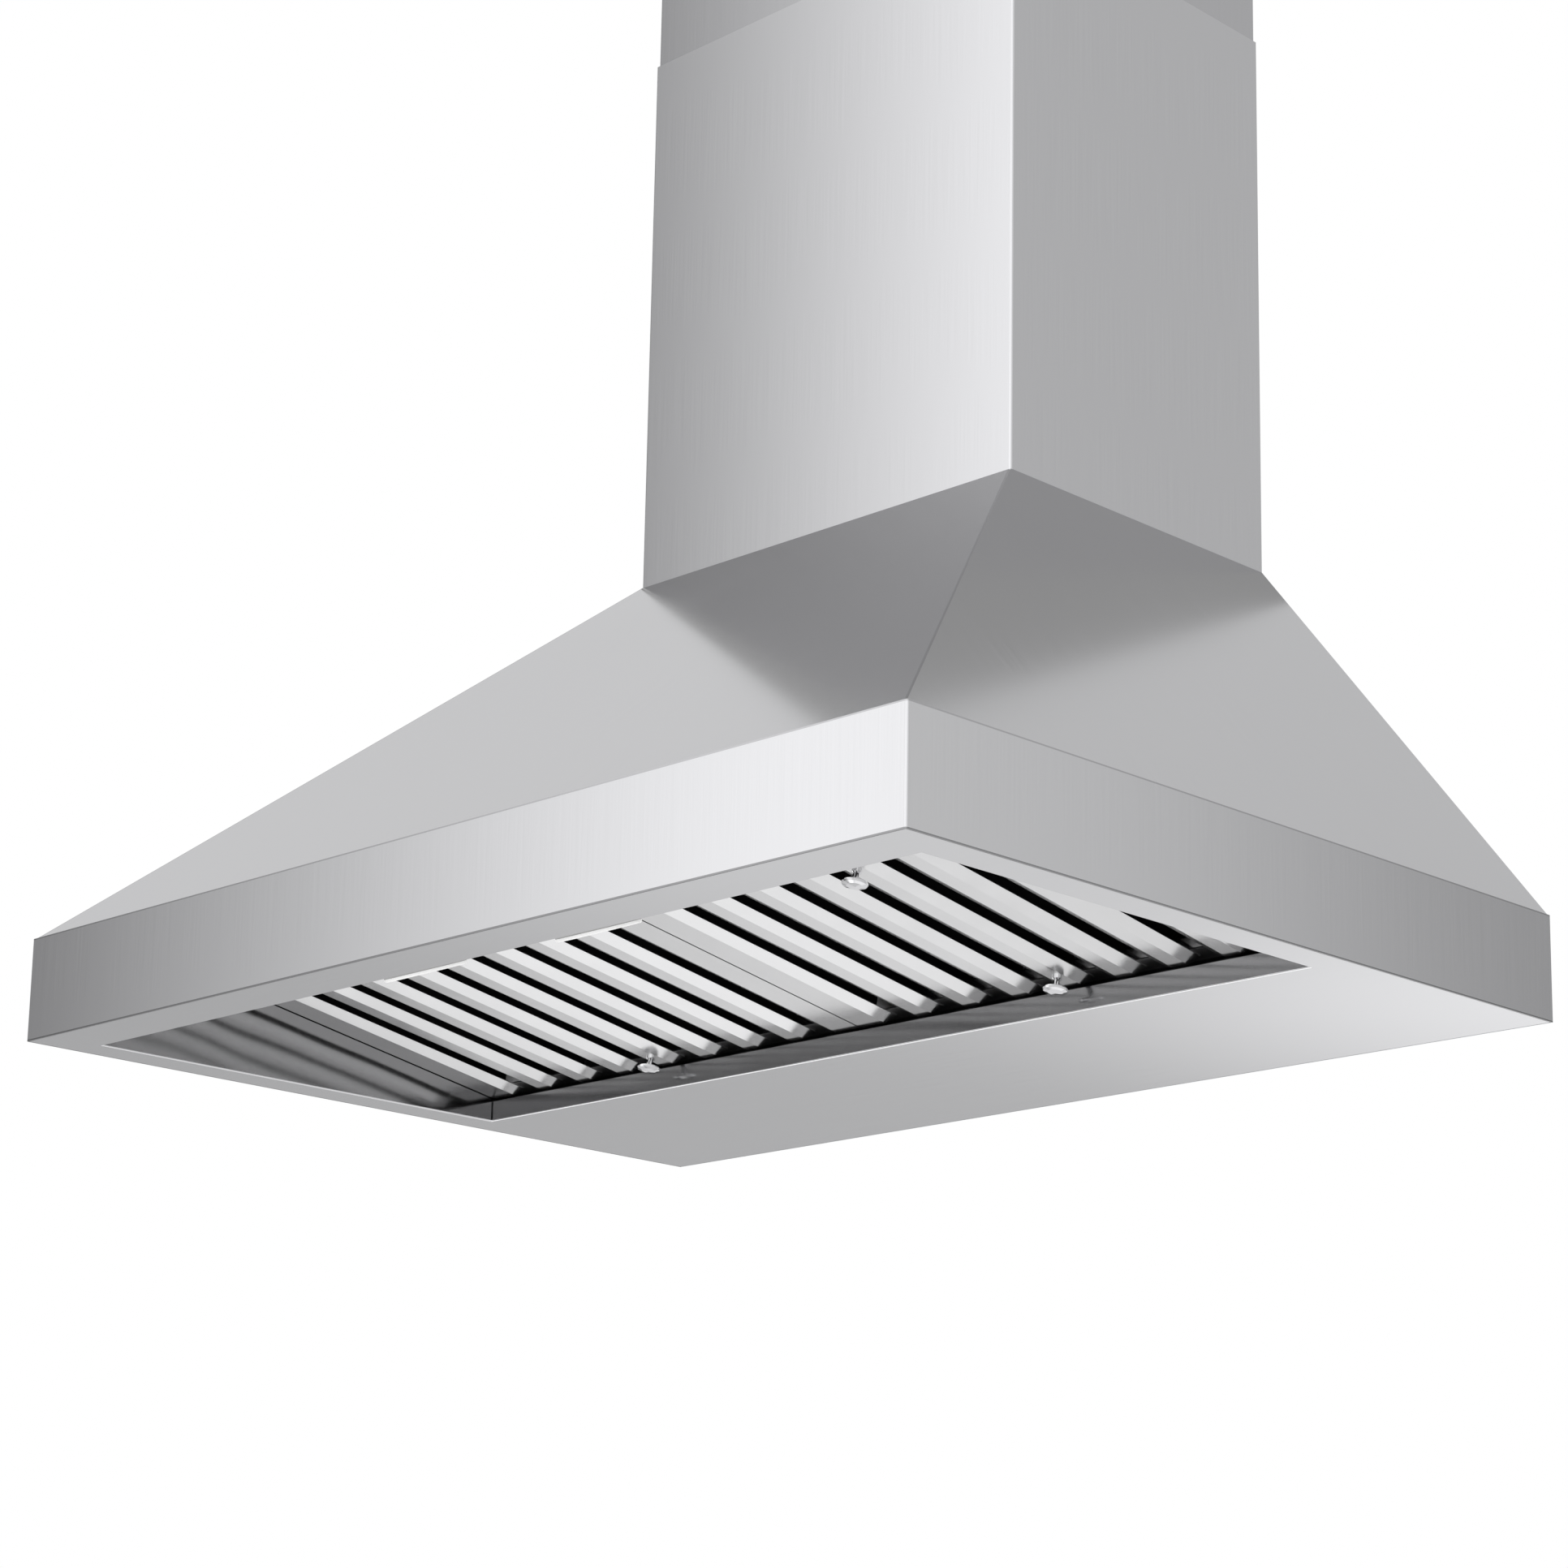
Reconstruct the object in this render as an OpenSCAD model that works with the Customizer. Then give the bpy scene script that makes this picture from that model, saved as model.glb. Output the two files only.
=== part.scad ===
// Canopy range hood: an upright band and a pyramid of folded steel, two baffle
// filters in a sloping well, a twin-inlet blower and a telescoping chimney.
// Millimetres. x runs along the front, y towards the wall, z up.
// The origin is the middle of the underside.

/* [Canopy] */
// Width across the front
hood_w = 914; // [880:1:960]
// Depth from the front to the wall
hood_d = 686; // [670:1:720]
// Height of the upright band
band_h = 80; // [60:1:100]
// Height of the canopy, from the underside to the chimney's seat
canopy_h = 404; // [390:1:430]
// Thickness of the sheet steel
sheet = 1.2; // [1:0.1:1.5]
// Step from the band's face to the foot of the pyramid
foot_step = 1.5; // [0.5:0.1:3]
// Width of the hem turned in along the band's top edge
hem_w = 9; // [6:0.5:14]
// Outer radius of the upright bends in the band and the chimney
bend_r = 2; // [1.8:0.1:3]
// Height of the upturned edge of the underside
pan_lip = 15; // [8:0.5:25]
// Gap between sheets that are screwed together
seat_gap = 0.3; // [0.2:0.05:0.4]

/* [Filter well] */
// Border in front of the filter well
front_border = 46; // [40:1:56]
// Border at each side of the filter well
side_border = 30; // [24:1:40]
// Closed panel behind the filter well
rear_panel = 247; // [235:1:255]
// Height of the filters' low rear edge above the underside
filter_z = 17; // [16.5:0.5:22]
// Height of the well's rear wall
rear_wall_h = 17.5; // [12:0.5:17.5]
// Slope of the filters, rising to the front
filter_tilt = 10; // [8.5:0.1:11]

/* [Filters] */
// Distance from one baffle to the next
pitch = 48.6; // [45:0.1:52]
// Clear slot between two baffles
slot = 13.4; // [8:0.1:15]
// Thickness of the baffle sheet
baffle_t = 1; // [0.8:0.1:1.2]
// Depth of the lower baffles
lower_h = 5.2; // [4.5:0.1:8]
// Depth of the whole filter
filter_h = 23; // [22:0.5:26]
// Gap round each filter
filter_gap = 1.5; // [1:0.1:2]
// Length of a filter that reaches back over the well's rear wall
filter_hold = 17; // [14:0.5:17]
// Travel of a filter into the front channel, when it is pushed up to be freed
push_travel = 20; // [19:0.5:24]
// Diameter of a pull knob's head
knob_d = 19; // [15:0.5:24]
// Height of a pull knob
knob_h = 12; // [9:0.5:13]

/* [Lights and controls] */
// Depth of the sloping light shelf behind the front border
shelf_d = 70; // [69:0.5:75]
// Slope of the light shelf
shelf_tilt = 21; // [19:0.1:23]
// Distance of each lamp from the middle
lamp_x = 91; // [91:1:120]
// Outer diameter of a lamp's bezel
lamp_d = 60; // [56:1:64]
// Depth of a lamp's bezel below the shelf
bezel_h = 4.5; // [3:0.1:4.6]
// Diameter of a push button
button_d = 12; // [9:0.5:14]
// Distance between push buttons
button_pitch = 20; // [18:0.5:21]
// Travel of a push button
button_travel = 2; // [1:0.1:2.5]

/* [Blower] */
// Radius of the blower wheel
wheel_r = 85; // [75:1:90]
// Width of the blower wheel
wheel_w = 140; // [110:2:150]
// Number of blades
blades = 36; // [24:2:40]
// Radius of the motor
motor_r = 44; // [36:1:50]
// Radius of the motor shaft
shaft_r = 4; // [3:0.5:6]
// Outer radius of the duct collar
duct_r = 99; // [75:1:100]
// Height of the duct collar
collar_h = 75; // [60:1:95]

/* [Chimney] */
// Width of the chimney
chimney_w = 398; // [380:1:410]
// Depth of the chimney
chimney_d = 302; // [290:1:315]
// Length of the lower chimney cover
lower_len = 460; // [440:1:490]
// Length of the upper chimney cover
upper_len = 420; // [400:1:460]
// Length of the upper cover that stands out of the lower one
upper_out = 205; // [170:1:220]
// Width of the flange turned in at the wall
chimney_flange = 18; // [12:1:25]

/* [Hidden] */
$fn = 64;
eps = 0.01;
front_y = -hood_d / 2;
wall_y = hood_d / 2;

// filter well
well_x = hood_w / 2 - side_border;
well_front = front_y + front_border;
well_rear = wall_y - rear_panel;

// light shelf, up to the upright wall in front of the filters
shelf_len = shelf_d / cos(shelf_tilt);
channel_y = well_front + shelf_d;

// filters: y of their low rear edge, length along the slope, width
filter_y = well_rear + filter_hold;
filter_len = (filter_y - channel_y - push_travel - 4) / cos(filter_tilt);
filter_w = (2 * well_x - 3 * filter_gap) / 2;
least_margin = 40;
slots = floor((filter_w - 2 * least_margin) / pitch) + 1;
side_margin = (filter_w - (slots - 1) * pitch) / 2;
// the lower baffles end over the gutter, and short of the front ledge
ledge_reach = 8;
lower_rear = sheet - filter_hold;
lower_front = -filter_len + push_travel + ledge_reach + 2;
// length of baffle under the flange of each end member
lap = 12;
top_flange = 14;

// grease gutter behind the rear wall: its floor, the shelf that carries the filters'
// rear edge, and its back
trough_w = 9;
gutter_y = well_rear + sheet + seat_gap;
gutter_z = sheet + seat_gap;
shelf_y = gutter_y + 2 * sheet + trough_w;
shelf_z = filter_z + lower_h * cos(filter_tilt) - seat_gap;
gutter_back = filter_y + filter_h * sin(filter_tilt) + filter_gap + sheet;

// pyramid
foot_x = hood_w / 2 - foot_step;
foot_y = front_y + foot_step;
rise = canopy_h - band_h;
chimney_x = chimney_w / 2;
chimney_y = wall_y - chimney_d;

// duct and blower: the outlet is centred under the duct
duct_y = wall_y - chimney_d / 2;
wheel_gap = 8;
shaft_in = 14;
motor_face = 16;
scroll_grow = 52;
scroll_min = wheel_r + wheel_gap;
scroll_max = scroll_min + scroll_grow;
cutoff = 300;
outlet_y0 = scroll_min * cos(cutoff);
blower_y = duct_y - (outlet_y0 + scroll_max) / 2;
blower_drop = 150;
blower_z = canopy_h - sheet - blower_drop;
blower_x = wheel_w / 2 + 14;
inlet_r = wheel_r - 13;
motor_x = blower_x + 14;

// telescoping chimney
upper_x = chimney_x - sheet - seat_gap;
upper_y = chimney_y + sheet + seat_gap;
lower_top = canopy_h + lower_len;
upper_top = lower_top + upper_out;

// damper
collar_t = 1;
damper_z = canopy_h + collar_h * 0.45;
pin_gap = 6;
pin_r = 1.5;
pin_fit = 0.1;

// ---- folded sheet: a strip of thickness t on the left of an open path ----
function unit(v) = v / norm(v);
function left_of(v) = [-v.y, v.x];
function side(p, i) = left_of(unit(p[i + 1] - p[i]));
function mitre(p, i) =
    i == 0 ? side(p, 0) :
    i == len(p) - 1 ? side(p, i - 1) :
    (side(p, i - 1) + side(p, i)) / (1 + side(p, i - 1) * side(p, i));
function shifted(p, t) = [for (i = [0 : len(p) - 1]) p[i] + t * mitre(p, i)];
function fold(p, t) = concat(p, [for (i = [len(p) - 1 : -1 : 0]) p[i] + t * mitre(p, i)]);

// a profile drawn in y and z, run along x
module along_x(x0, x1) {
    translate([x0, 0, 0]) rotate([90, 0, 90]) linear_extrude(x1 - x0) children();
}
// a profile drawn in x and z, run along y
module along_y(y0, y1) {
    translate([0, y1, 0]) rotate([90, 0, 0]) linear_extrude(y1 - y0) children();
}

// ---- places ----
// the filters' slope: y = 0 at the low rear edge and negative towards the front
function on_slope_pt(y, z) = [filter_y + y * cos(filter_tilt) + z * sin(filter_tilt),
                              filter_z - y * sin(filter_tilt) + z * cos(filter_tilt)];
module on_slope() {
    translate([0, filter_y, filter_z]) rotate([-filter_tilt, 0, 0]) children();
}
// the light shelf: y = 0 at the front border, z = 0 on its visible underside
module on_shelf() {
    translate([0, well_front, sheet]) rotate([shelf_tilt, 0, 0]) children();
}

// ---- plans ----
// half width x, from the front y to the back, with its two front corners rounded
module front_rounded(x, y, back, r) {
    translate([-x + r, y]) square([2 * (x - r), back - y]);
    translate([-x, y + r]) square([2 * x, back - y - r]);
    for (s = [-1, 1]) translate([s * (x - r), y + r]) circle(r);
}
// sheet bent round that plan, open at the back
module bent_sheet(x, y, back) {
    difference() {
        front_rounded(x, y, back, bend_r);
        front_rounded(x - sheet, y + sheet, back + 1, bend_r - sheet);
    }
}

// ---- canopy ----
// plan of the hem that runs along the front and both sides, inset by d
function surround(d) = [[-hood_w / 2 + d, wall_y], [-hood_w / 2 + d, front_y + d],
                        [hood_w / 2 - d, front_y + d], [hood_w / 2 - d, wall_y]];

module canopy_band() {
    color("gainsboro") {
        linear_extrude(band_h) bent_sheet(hood_w / 2, front_y, wall_y);
        translate([0, 0, band_h - sheet])
            intersection() {
                linear_extrude(sheet) polygon(fold(surround(sheet - eps), hem_w));
                translate([-hood_w / 2, front_y, 0])
                    cube([hood_w, hood_d - sheet - seat_gap, sheet]);
            }
    }
}

// half width and front of the pyramid at height z, drawn in by tx and ty
function pyramid_x(z) = foot_x + (chimney_x - foot_x) * (z - band_h) / rise;
function pyramid_y(z) = foot_y + (chimney_y - foot_y) * (z - band_h) / rise;
// level thickness of the sheet on the side and front slopes
side_t = sheet * norm([rise, foot_x - chimney_x]) / rise;
front_t = sheet * norm([rise, chimney_y - foot_y]) / rise;

function ring(z, dx, dy, back) = [
    [-pyramid_x(z) + dx, pyramid_y(z) + dy, z], [pyramid_x(z) - dx, pyramid_y(z) + dy, z],
    [pyramid_x(z) - dx, back, z], [-pyramid_x(z) + dx, back, z]];

module frustum(z0, z1, dx, dy, back) {
    polyhedron(concat(ring(z0, dx, dy, back), ring(z1, dx, dy, back)),
               [[0, 1, 2, 3], [7, 6, 5, 4], [0, 4, 5, 1], [1, 5, 6, 2], [2, 6, 7, 3],
                [3, 7, 4, 0]]);
}

module canopy_pyramid() {
    color("silver")
        difference() {
            frustum(band_h, canopy_h, 0, 0, wall_y);
            frustum(band_h - 1, canopy_h + 1, side_t, front_t, wall_y + 1);
        }
}

wall_hole_r = 4;
wall_hole_x = 400;
wall_hole_z = 120;
wall_hole_mid = 190;

// right half of the back panel's outline: up the band, under its hem, up the pyramid
function back_half() =
    let (g = seat_gap)
    [[hood_w / 2 - sheet - g, 0], [hood_w / 2 - sheet - g, band_h - sheet - g],
     [foot_x - side_t - g, band_h - sheet - g], [foot_x - side_t - g, band_h],
     [chimney_x - side_t - g, canopy_h]];
function both_halves(p) = concat(p, [for (i = [len(p) - 1 : -1 : 0]) [-p[i].x, p[i].y]]);

module back_panel() {
    color("lightgray")
        along_y(wall_y - sheet, wall_y)
            difference() {
                polygon(both_halves(back_half()));
                for (x = [-1, 1], z = [-1, 1])
                    translate([x * wall_hole_x / 2, wall_hole_mid + z * wall_hole_z / 2])
                        circle(wall_hole_r);
            }
}

// top edge of the well's side walls, and of the gutter's back
well_top = filter_h + 1.5;
rear_top = filter_z + well_top + 4;
function side_wall() =
    let (f = on_slope_pt(-filter_len - push_travel - 4, well_top),
         under_slope = band_h + (well_front - foot_y) * rise / (chimney_y - foot_y) - 8)
    [[well_front, 0], [gutter_back, 0], [gutter_back, rear_top],
     f, [well_front, min(f.y - 8, under_slope)]];

module underside_pan() {
    d = sheet + seat_gap;
    w = hood_w / 2 - d;
    y0 = front_y + d;
    y1 = wall_y - d;
    color("darkgray") {
        linear_extrude(sheet)
            difference() {
                front_rounded(w, y0, y1, bend_r - sheet);
                translate([-well_x, well_front])
                    square([2 * well_x, well_rear - well_front]);
            }
        linear_extrude(pan_lip)
            difference() {
                front_rounded(w, y0, y1, bend_r - sheet);
                translate([-w + sheet, y0 + sheet])
                    square([2 * (w - sheet), y1 - y0 - 2 * sheet]);
            }
        for (x = [-well_x - sheet, well_x]) along_x(x, x + sheet) polygon(side_wall());
        translate([-well_x - sheet, well_rear, 0])
            cube([2 * (well_x + sheet), sheet, rear_wall_h]);
    }
}

// visible side of the light panel: flange on the border, shelf, upright wall, filter ledge
function light_path() =
    let (zl = lower_h - seat_gap - sheet,
         yl = (channel_y - filter_y - zl * sin(filter_tilt)) / cos(filter_tilt))
    [[well_front - 20, sheet], [well_front, sheet],
     [channel_y, sheet + shelf_d * tan(shelf_tilt)],
     on_slope_pt(yl, zl), on_slope_pt(-filter_len + ledge_reach, zl)];

lamp_y = shelf_len - lamp_d / 2 - 1;
can_r = lamp_d / 2 - 3;
plate_w = 5 * button_pitch + 10;
plate_y = lamp_y;
plate_d = 24;

module light_panel() {
    color("silver")
        difference() {
            along_x(-well_x + seat_gap, well_x - seat_gap) polygon(fold(light_path(), sheet));
            on_shelf() {
                for (x = [-lamp_x, lamp_x])
                    translate([x, lamp_y, -5]) cylinder(r = can_r + seat_gap, h = 20);
                translate([-plate_w / 2 + 4, plate_y - plate_d / 2 + 4, -5])
                    cube([plate_w - 8, plate_d - 8, 20]);
            }
        }
}

// hooked channel above the ledge, which holds the filters' front edge
module filter_channel() {
    y = -filter_len - push_travel - 3;
    top = filter_h + 1.5;
    color("lightgray")
        on_slope() along_x(-well_x + seat_gap, well_x - seat_gap)
            polygon(fold([[y, lower_h - seat_gap / 2], [y, top],
                          [-filter_len + ledge_reach, top]], sheet));
}

// trough behind the rear wall, then a shelf under the filters' rear edge, then a back
module grease_gutter() {
    color("dimgray")
        along_x(-well_x + seat_gap, well_x - seat_gap)
            polygon(fold([[gutter_y, rear_wall_h - 1], [gutter_y, gutter_z],
                          [shelf_y, gutter_z], [shelf_y, shelf_z - sheet],
                          [gutter_back, shelf_z - sheet], [gutter_back, rear_top - 2]],
                         sheet));
}

module top_plate() {
    x = chimney_x - side_t - seat_gap;
    y0 = chimney_y + front_t + seat_gap;
    y1 = wall_y - sheet - seat_gap;
    color("lightgray")
        difference() {
            union() {
                translate([-x, y0, canopy_h - sheet]) cube([2 * x, y1 - y0, sheet]);
                translate([0, 0, canopy_h - 12]) linear_extrude(12)
                    difference() {
                        translate([-x, y0]) square([2 * x, y1 - y0]);
                        translate([-x + sheet, y0 + sheet])
                            square([2 * (x - sheet), y1 - y0 - 2 * sheet]);
                    }
            }
            translate([-blower_x, blower_y + outlet_y0, canopy_h - sheet - 1])
                cube([2 * blower_x, scroll_max - outlet_y0, sheet + 2]);
            translate([gland_x, gland_y, canopy_h - sheet - 1])
                cylinder(r = gland_r + 0.15, h = 5);
            at_collar_screws() translate([0, 0, -5]) cylinder(r = screw_hole_r, h = 10);
        }
}

// ---- lights and controls ----
lens_t = 2;
can_h = 34;
led_h = 7;

module lamp() {
    bezel_in = can_r - 4;
    on_shelf() translate([0, lamp_y, 0]) rotate_extrude()
        polygon([[bezel_in, 0], [bezel_in, -bezel_h + 1], [bezel_in + 1, -bezel_h],
                 [lamp_d / 2 - 1, -bezel_h], [lamp_d / 2, -bezel_h + 1], [lamp_d / 2, 0],
                 [can_r, 0], [can_r, can_h], [0, can_h], [0, can_h - 1],
                 [can_r - 1, can_h - 1], [can_r - 1, 0]]);
}
// light module under the top of the can
module led() {
    on_shelf() translate([0, lamp_y, can_h - 1 - led_h]) cylinder(r = can_r * 0.7, h = led_h);
}
module lens() {
    on_shelf() translate([0, lamp_y, 0]) cylinder(r = can_r - 1.3, h = lens_t);
}
module lamp_left() { color("whitesmoke") translate([-lamp_x, 0, 0]) lamp(); }
module lamp_right() { color("whitesmoke") translate([lamp_x, 0, 0]) lamp(); }
module led_left() { color("ivory") translate([-lamp_x, 0, 0]) led(); }
module led_right() { color("ivory") translate([lamp_x, 0, 0]) led(); }
module lens_left() { color("lightyellow") translate([-lamp_x, 0, 0]) lens(); }
module lens_right() { color("lightyellow") translate([lamp_x, 0, 0]) lens(); }

plate_t = 1.5;
button_fit = 0.3;
// the plate lies on the shelf's inner side, so that the buttons end flush with the shelf
plate_z = sheet;

function button_x(i) = (i - 2) * button_pitch;

module control_plate() {
    color("silver")
        on_shelf()
            difference() {
                translate([-plate_w / 2, plate_y - plate_d / 2, plate_z])
                    cube([plate_w, plate_d, plate_t]);
                for (i = [0 : 4])
                    translate([button_x(i), plate_y, plate_z - 1])
                        cylinder(r = button_d / 2 + button_fit, h = plate_t + 2);
            }
}

module control_box() {
    box_h = 26;
    wall = 2;
    x = plate_w / 2 - 4.3;
    y = plate_d / 2 - 4.3;
    color("dimgray")
        on_shelf() translate([0, plate_y, plate_z + plate_t])
            difference() {
                translate([-x, -y, 0]) cube([2 * x, 2 * y, box_h]);
                for (i = [0 : 4])
                    translate([button_x(i), 0, -1])
                        cylinder(r = min(button_d / 2 + 1, y - 0.8), h = 12);
            }
}

module button(i) {
    skirt = plate_z + plate_t + 1.2;
    stem = skirt + 6;
    color("lightgray")
        on_shelf() translate([button_x(i), plate_y, 0]) rotate_extrude()
            polygon([[0, 0], [button_d / 2 - 0.8, 0], [button_d / 2, 0.8],
                     [button_d / 2, skirt], [2.5, skirt], [2.5, stem], [0, stem]]);
}
module button_off() { button(0); }
module button_low() { button(1); }
module button_medium() { button(2); }
module button_high() { button(3); }
module button_light() { button(4); }

// ---- filters, drawn from their left side at x = 0 to filter_w ----
function slot_x(i) = side_margin + i * pitch;

// shallow channel with bevelled sides and short upturned edges
baffle_w = pitch - slot;
bevel_w = baffle_w * 0.3;
bevel_h = lower_h - baffle_t * 0.8;
function right_bevel(x) = [[x - bevel_w, 0], [x, bevel_h], [x, lower_h]];
function left_bevel(x) = [[x, lower_h], [x, bevel_h], [x + bevel_w, 0]];

module lower_baffles() {
    color("whitesmoke")
        on_slope() for (i = [0 : slots - 2])
            translate([slot_x(i) + pitch / 2, 0, 0])
                along_y(lower_front, lower_rear)
                    polygon(fold(concat(left_bevel(-baffle_w / 2), right_bevel(baffle_w / 2)),
                                 baffle_t));
}

module upper_baffles() {
    w = baffle_w;
    top = filter_h - baffle_t;
    leg = lower_h - 1;
    color("gray")
        on_slope() for (i = [0 : slots - 1]) translate([slot_x(i), 0, 0]) {
            along_y(lower_front + lap + 1, lower_rear - lap - 1)
                polygon(fold([[w / 2, leg], [w / 2, top], [-w / 2, top], [-w / 2, leg]],
                             baffle_t));
            along_y(-filter_len + baffle_t, -baffle_t)
                translate([-w / 2, top - baffle_t]) square([w, baffle_t]);
        }
}

// end member: a channel that opens inwards, with its lower flange over the baffles' ends
function end_member(reach) = fold([[reach, lower_h], [0, lower_h], [0, filter_h],
                                   [top_flange, filter_h]], -baffle_t);

module filter_frame() {
    t = baffle_t;
    inner = side_margin - slot / 2;
    color("gainsboro")
        on_slope() {
            for (m = [0, 1]) translate([m * filter_w, 0, 0]) mirror([m, 0, 0]) {
                along_y(-filter_len, 0)
                    polygon(fold([[0, lower_h], [0, filter_h], [top_flange, filter_h]], -t));
                along_y(lower_front, lower_rear)
                    polygon(fold(concat([[0, lower_h + eps], [0, 0]], right_bevel(inner)), t));
            }
            along_x(0, filter_w) translate([-filter_len, 0])
                polygon(end_member(lower_front + lap + filter_len));
            along_x(0, filter_w) mirror([1, 0]) polygon(end_member(lap - lower_rear));
        }
}

knob_rear = lower_rear - 20;
knob_front = lower_front + 43;
knob_mid = slot_x(floor((slots - 1) / 2)) + pitch / 2;

module knobs(places) {
    r = knob_d / 2;
    color("white")
        on_slope() for (y = places) translate([knob_mid, y, 0])
            rotate_extrude()
                polygon([[0, 0], [3.8, 0], [3.8, -1.6], [2.4, -2.6], [2.2, -knob_h + 5],
                         [3.4, -knob_h + 3.8], [r - 0.6, -knob_h + 3.2], [r, -knob_h + 2.2],
                         [r - 0.8, -knob_h + 1.1], [r * 0.6, -knob_h + 0.3], [0, -knob_h]]);
}

// the two filters stand side by side with one gap between them
module left_filter() { translate([-filter_w - filter_gap / 2, 0, 0]) children(); }
module right_filter() { translate([filter_gap / 2, 0, 0]) children(); }
module filter_frame_left() { left_filter() filter_frame(); }
module filter_frame_right() { right_filter() filter_frame(); }
module lower_baffles_left() { left_filter() lower_baffles(); }
module lower_baffles_right() { right_filter() lower_baffles(); }
module upper_baffles_left() { left_filter() upper_baffles(); }
module upper_baffles_right() { right_filter() upper_baffles(); }
module knobs_left() { left_filter() knobs([knob_rear]); }
module knobs_right() { right_filter() knobs([knob_rear, knob_front]); }

// ---- blower ----
module at_blower() { translate([0, blower_y, blower_z]) children(); }

// scroll wall: down the outlet's rear side, round the wheel, and up from the cut-off
function scroll_radius(a) = scroll_max - scroll_grow * a / cutoff;
function scroll_path() = concat(
    [[scroll_max, canopy_h - sheet - blower_z]],
    [for (a = [0 : 7.5 : cutoff]) scroll_radius(a) * [cos(a), -sin(a)]],
    [[outlet_y0, canopy_h - sheet - blower_z]]);

module blower_scroll() {
    color("lightsteelblue")
        at_blower() along_x(-blower_x, blower_x) polygon(fold(scroll_path(), sheet));
}

// side plate with a flared inlet
module inlet_plate() {
    flare = 6;
    color("lightsteelblue")
        at_blower() {
            along_x(blower_x, blower_x + sheet)
                difference() {
                    polygon(shifted(scroll_path(), sheet));
                    circle(inlet_r + flare);
                }
            translate([blower_x, 0, 0]) rotate([0, 90, 0]) rotate_extrude()
                polygon(concat(
                    [for (a = [0 : 15 : 90])
                        [inlet_r + flare - flare * sin(a), -flare + flare * cos(a)]],
                    [[inlet_r + sheet, -flare]],
                    [for (a = [75 : -15 : 0])
                        [inlet_r + flare - (flare - sheet) * sin(a),
                         -flare + (flare - sheet) * cos(a)]],
                    [[inlet_r + flare + eps, 0], [inlet_r + flare + eps, sheet],
                     [inlet_r + flare, sheet]]));
        }
}
module inlet_plate_right() { inlet_plate(); }
module inlet_plate_left() { mirror([1, 0, 0]) inlet_plate(); }

hub_r = 14;
blade_w = 14;

module blower_wheel() {
    disc_t = 2;
    ring_t = 2;
    color("slategray")
        at_blower() rotate([0, 90, 0]) {
            difference() {
                union() {
                    translate([0, 0, -disc_t / 2]) cylinder(r = wheel_r, h = disc_t);
                    translate([0, 0, -12]) cylinder(r = hub_r, h = 24);
                }
                translate([0, 0, -13]) cylinder(r = shaft_r + 0.02, h = 26);
            }
            for (z = [-wheel_w / 2, wheel_w / 2 - ring_t]) translate([0, 0, z])
                difference() {
                    cylinder(r = wheel_r, h = ring_t);
                    translate([0, 0, -1]) cylinder(r = wheel_r - blade_w, h = ring_t + 2);
                }
            for (i = [0 : blades - 1]) rotate(i * 360 / blades)
                translate([0, 0, -wheel_w / 2]) linear_extrude(wheel_w)
                    polygon(fold([for (a = [0 : 25 : 75])
                        [wheel_r - blade_w + 0.5 + (blade_w - 1) * sin(a * 1.2),
                         (blade_w * 0.55) * (1 - cos(a * 1.2))]], 0.8));
        }
}

module motor_shaft() {
    color("silver")
        at_blower() translate([-motor_face - shaft_in, 0, 0]) rotate([0, 90, 0])
            cylinder(r = shaft_r, h = 2 * motor_face + shaft_in);
}

module motor() {
    len = motor_x - motor_face;
    color("darkslategray")
        at_blower() translate([-motor_x, 0, 0]) rotate([0, 90, 0])
            difference() {
                union() {
                    translate([0, 0, 6]) cylinder(r = motor_r, h = len - 12);
                    cylinder(r1 = motor_r - 6, r2 = motor_r, h = 6);
                    translate([0, 0, len - 6])
                        cylinder(r1 = motor_r, r2 = motor_r - 6, h = 6);
                }
                translate([0, 0, len - shaft_in - 0.2]) cylinder(r = shaft_r + 0.1, h = len);
            }
}

module motor_bracket() {
    bar_t = 3;
    bar_w = 16;
    foot_r = inlet_r + 15;
    x0 = blower_x + sheet;
    color("lightgray")
        at_blower() mirror([1, 0, 0]) translate([x0, 0, 0]) rotate([0, 90, 0]) {
            difference() {
                union() {
                    cylinder(r = motor_r + 5, h = bar_t);
                    for (a = [0, 120, 240]) rotate(a + 30)
                        translate([0, -bar_w / 2, 0]) cube([foot_r + 8, bar_w, bar_t]);
                }
                translate([0, 0, -1]) cylinder(r = motor_r + 0.3, h = bar_t + 2);
            }
        }
}

// angles that hang the scroll under the top plate
module blower_brackets() {
    t = 2;
    leg = 20;
    top = canopy_h - sheet;
    x = blower_x + sheet;
    color("lightgray")
        for (m = [0, 1]) mirror([m, 0, 0])
            along_y(blower_y + outlet_y0 + leg, blower_y + scroll_max - leg)
                polygon(fold([[x, top - leg], [x, top], [x + leg, top]], -t));
}

cap_r = 17;
module at_capacitor() {
    at_blower() translate([blower_x + sheet, 0, 0]) rotate([45, 0, 0])
        translate([0, 0, -(inlet_r + scroll_radius(90)) / 2 - 7]) rotate([0, 90, 0]) children();
}
module capacitor() {
    len = 52;
    color("ghostwhite")
        at_capacitor() {
            cylinder(r = cap_r, h = len);
            translate([0, 0, len]) cylinder(r = cap_r - 4, h = 6);
        }
}
module capacitor_clamp() {
    w = 12;
    t = 1.5;
    color("silver")
        at_capacitor() difference() {
            union() {
                cylinder(r = cap_r + seat_gap + t, h = w);
                translate([-w / 2, -cap_r - 10, 0]) cube([w, 2 * cap_r + 20, t]);
            }
            translate([0, 0, -1]) cylinder(r = cap_r + seat_gap, h = w + 2);
        }
}

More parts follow.
